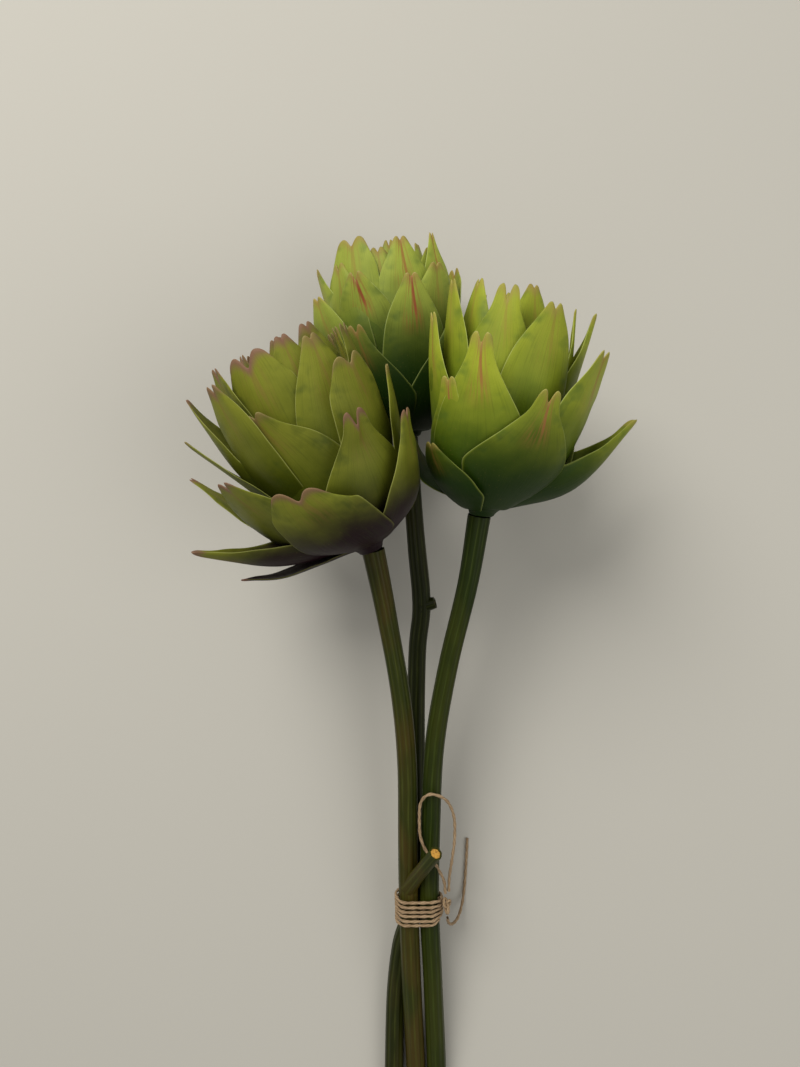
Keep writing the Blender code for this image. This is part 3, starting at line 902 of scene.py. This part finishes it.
LEFT_CROWN = (
    *whorl(
        1.1, -95,
        form(56, 110, 54, "pointed", fold=0.2, stain=0.9),
        form(48, 110, 40, "oval", shift=-5, lean=4, stain=0.8),
        form(38, 113, 40, "oval", shift=17, lean=8, notch=1.0),
        form(48, 98, 38, "square", shift=-4, notch=2.0),
        form(42, 112, 44, shift=-35),
        form(34, 112, 44),
        form(40, 112, 44),
        form(44, 112, 44),
    ),
    *whorl(
        1.3, -60,
        form(38, 117, 36, "oval", fold=-0.2, notch=5.0, stain=0.9),
        form(35, 117, 44, "square", shift=-28, notch=4.0, stain=0.9),
        form(33, 118, 32, "oval", shift=-60, lean=3, notch=1.0, stain=0.9),
        form(32, 119, 38, "oval", shift=-90, notch=1.0, stain=0.9),
        form(34, 114, 40, shift=-60),
        form(34, 114, 40, shift=-30),
    ),
    *whorl(1.6, 0, *(form(22, 118, 32, "oval", stain=0.8) for _ in range(6))),
    *whorl(2.0, 30, *(form(9, 116, 24, "oval") for _ in range(3))),
)
# The foot colour is the head's purple base, darkened by painted shade towards the stem.
left_paints = bract_paints(
    "left",
    {
        "Foot_and_shade": (0.012, 0.003, 0.006),
        "Body": (0.055, 0.070, 0.003),
        "Tip": (0.200, 0.215, 0.022),
        "Bloom": (0.040, 0.062, 0.008),
        "Rust": (0.22, 0.10, 0.04),
        "Stain": (0.20, 0.10, 0.07),
    },
    {"Body": (0.100, 0.115, 0.005), "Tip": (0.20, 0.21, 0.02)},
    {"Body": (0.18, 0.20, 0.04), "Tip": (0.30, 0.31, 0.08)},
    (0.14, 0.46),
)
add_head("left", LEFT_HEAD, LEFT_OUTER, LEFT_CROWN, left_paints)

# ---------------------------------------------------------------------------------------------
# Right head: yellow green, upright and full, with rusty streaks in its tips.
RIGHT_HEAD = {
    "base": (42.4, 10.9, 82.0),
    "lean": -8.0,
    "rise": 8.0,
    "shoulder": (50.0, 36.0),
    "pressed": ((-112.0, 0.28),),
    "bud_top": 110.0,
}
RIGHT_OUTER = (
    *whorl(
        0.12, 18,
        form(56, 65, 66, hook=-2, lean=3, notch=5.0, rust=0.9),
        form(74, 59, 58, fold=0.5),
        form(86, 44, 50),
        form(54, 38, 46),
        form(51, 66, 46, shift=20, rust=0.9, notch=1.0),
    ),
    *whorl(
        0.32, -14,
        form(56, 87, 54, lean=-3, notch=4.0, rust=0.9),
        form(54, 89, 50, "oval", rust=0.6),
        form(60, 68, 50),
        form(46, 56, 50),
        form(48, 96, 46, shift=30, rust=0.7),
    ),
    *whorl(
        1.00, 18,
        form(39, 107, 42, "oval", shift=5, lean=2, notch=2.0),
        form(43, 109, 52, shift=-5, fold=0.2),
        form(42, 96, 46),
        form(30, 92, 44),
        form(40, 113, 34, "oval", notch=1.0),
    ),
    *whorl(0.0, -46, form(45, 34, 44, "oval", notch=1.0)),
)
RIGHT_CROWN = (
    *whorl(
        1.15, -10,
        form(33, 113, 56, "shouldered", notch=7.0),
        form(32, 110, 40, shift=20),
        form(34, 112, 40),
        form(33, 112, 40),
        form(42, 96, 38, "oval", shift=10, notch=2.0),
    ),
    *whorl(
        1.5, 25,
        form(18, 117, 32, "oval", notch=1.0, stain=0.8),
        form(19, 110, 26, "pointed", shift=-30, stain=1.0),
        form(22, 114, 34, "oval"),
        form(22, 114, 34, "oval"),
        form(26, 116, 32, "oval"),
    ),
    *whorl(1.8, 50, *(form(14, 112, 26, "oval") for _ in range(5))),
)
# The foot colour is a deep green base, darkened nearly to black by painted shade towards the stem.
right_paints = bract_paints(
    "right",
    {
        "Foot_and_shade": (0.010, 0.030, 0.001),
        "Body": (0.095, 0.150, 0.005),
        "Tip": (0.320, 0.365, 0.030),
        "Bloom": (0.070, 0.135, 0.020),
        "Rust": (0.30, 0.13, 0.04),
        "Stain": (0.33, 0.24, 0.07),
    },
    {"Body": (0.130, 0.180, 0.008), "Tip": (0.31, 0.34, 0.03)},
    {"Body": (0.30, 0.37, 0.09), "Tip": (0.42, 0.47, 0.12)},
    (0.14, 0.74),
)
add_head("right", RIGHT_HEAD, RIGHT_OUTER, RIGHT_CROWN, right_paints)

# ---------------------------------------------------------------------------------------------
# Back head: a light green, closed bud between and behind the other two.
BACK_HEAD = {
    "base": (4.5, 57.0, 42.0),
    "lean": 6.0,
    "rise": 3.0,
    "shoulder": (43.0, 33.0),
    "pressed": ((0.0, 0.20), (180.0, 0.12)),
    "bud_top": 108.0,
}
BACK_OUTER = (
    *whorl(
        0.00, -30,
        form(46, 58, 58),
        form(48, 60, 52),
        form(53, 52, 46),
        form(43, 38, 46),
        form(54, 64, 48),
    ),
    *whorl(
        0.36, 12,
        form(45, 81, 44, "oval", notch=1.0, rust=1.0),
        form(52, 78, 48, "oval"),
        form(47, 70, 48),
        form(47, 62, 50),
        form(49, 78, 42, "oval", notch=1.0),
    ),
    *whorl(
        1.00, -32,
        form(36, 88, 46, "oval", hook=2, notch=4.0, rust=1.0),
        form(38, 89, 38, "oval", notch=1.0),
        form(41, 96, 46, "oval"),
        form(42, 97, 46, "oval"),
        form(42, 98, 42, "oval", shift=20, notch=1.0),
    ),
)
BACK_CROWN = (
    *whorl(
        1.1, -40,
        form(32, 108, 36, "square", notch=2.0),
        form(29, 105, 44, "oval", shift=-8, notch=1.0, rust=0.7),
        form(30, 108, 42, "pointed", shift=-28, rust=0.7),
        form(30, 106, 40, "oval"),
        form(30, 106, 40, "oval"),
        form(35, 96, 38, "oval", shift=45),
    ),
    *whorl(1.25, -14, *(form(27, 101, 46, "oval", notch=1.5) for _ in range(5))),
    *whorl(1.7, 0, *(form(17, 107, 28, "oval") for _ in range(5))),
    *whorl(2.0, 30, *(form(6, 106, 20, "oval") for _ in range(2))),
)
# The foot colour is a deep green base, darkened nearly to black by painted shade towards the stem.
back_paints = bract_paints(
    "back",
    {
        "Foot_and_shade": (0.010, 0.028, 0.002),
        "Body": (0.105, 0.155, 0.012),
        "Tip": (0.330, 0.385, 0.055),
        "Bloom": (0.080, 0.140, 0.030),
        "Rust": (0.28, 0.08, 0.03),
        "Stain": (0.30, 0.14, 0.06),
    },
    {"Tip": (0.31, 0.35, 0.04)},
    {"Body": (0.30, 0.37, 0.11), "Tip": (0.42, 0.48, 0.15)},
    (0.25, 0.85),
)
add_head("back", BACK_HEAD, BACK_OUTER, BACK_CROWN, back_paints)

# ---------------------------------------------------------------------------------------------
# Floor and light. A plain pale floor under one broad soft lamp at the upper left and a weaker one
# at the right, in even room light.
FLOOR_COLOUR = (0.50, 0.487, 0.435, 1.0)
FLOOR_SIZE = 6.0
ROOM_COLOUR = (1.0, 0.98, 0.95, 1.0)
ROOM_LIGHT = 0.35


def add_floor():
    mesh = bpy.data.meshes.new("floor")
    bm = bmesh.new()
    bmesh.ops.create_grid(bm, x_segments=1, y_segments=1, size=FLOOR_SIZE)
    bm.to_mesh(mesh)
    bm.free()
    floor = bpy.data.objects.new("floor", mesh)
    paint, _, shader = new_paint("floor_paint", 0.9)
    shader.inputs["Base Color"].default_value = FLOOR_COLOUR
    mesh.materials.append(paint)
    bpy.context.scene.collection.objects.link(floor)


def add_lamp(name, place, aim, size, power, colour):
    lamp = bpy.data.objects.new(name, bpy.data.lights.new(name, "AREA"))
    lamp.data.shape = "DISK"
    lamp.data.size = size
    lamp.data.energy = power
    lamp.data.color = colour
    lamp.location = place
    lamp.rotation_euler = (Vector(aim) - Vector(place)).to_track_quat("-Z", "Y").to_euler()
    bpy.context.scene.collection.objects.link(lamp)


add_floor()
add_lamp("key", (-0.7, 1.1, 1.3), (0, 0.1, 0.05), 1.1, 26.0, (1.0, 0.97, 0.93))
add_lamp("fill", (0.9, -0.2, 1.2), (0, 0, 0.05), 1.2, 6.0, (1.0, 0.98, 0.95))
world = bpy.data.worlds.new("room")
world.use_nodes = True
world.node_tree.nodes["Background"].inputs["Color"].default_value = ROOM_COLOUR
world.node_tree.nodes["Background"].inputs["Strength"].default_value = ROOM_LIGHT
bpy.context.scene.world = world
